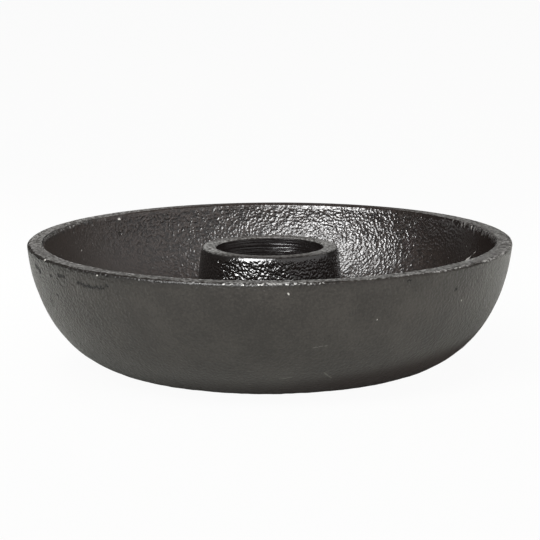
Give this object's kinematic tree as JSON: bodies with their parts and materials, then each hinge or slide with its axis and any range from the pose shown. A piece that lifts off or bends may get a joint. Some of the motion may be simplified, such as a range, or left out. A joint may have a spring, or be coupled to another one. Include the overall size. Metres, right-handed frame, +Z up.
{
  "type": "candlestick",
  "caption": "Low dish candlestick: a heavy round bowl with a tapered socket for a dinner candle standing in its middle, screwed on from below behind a felt pad.",
  "frame": {"origin": "on the table, on the bowl's axis, under the middle of the felt pad", "axes": "+Z up along the bowl's axis; -Y faces the picture's camera"},
  "size_m": [0.1, 0.1, 0.0268],
  "materials": {
    "dish_iron": "cast, painted dark; satin outside, glossy and pebbled inside, rim ground flat",
    "socket_iron": "cast, glossy dark paint on the flank, top face and bore turned",
    "screw_steel": "zinc plated",
    "felt": "pressed wool felt",
    "adhesive_film": "pressure-sensitive film"
  },
  "bodies": {
    "root": {"dish": "dish_iron", "candle_socket": "socket_iron", "socket_screw": "screw_steel", "felt_pad": "felt", "pad_film": "adhesive_film"}
  },
  "joints": []
}
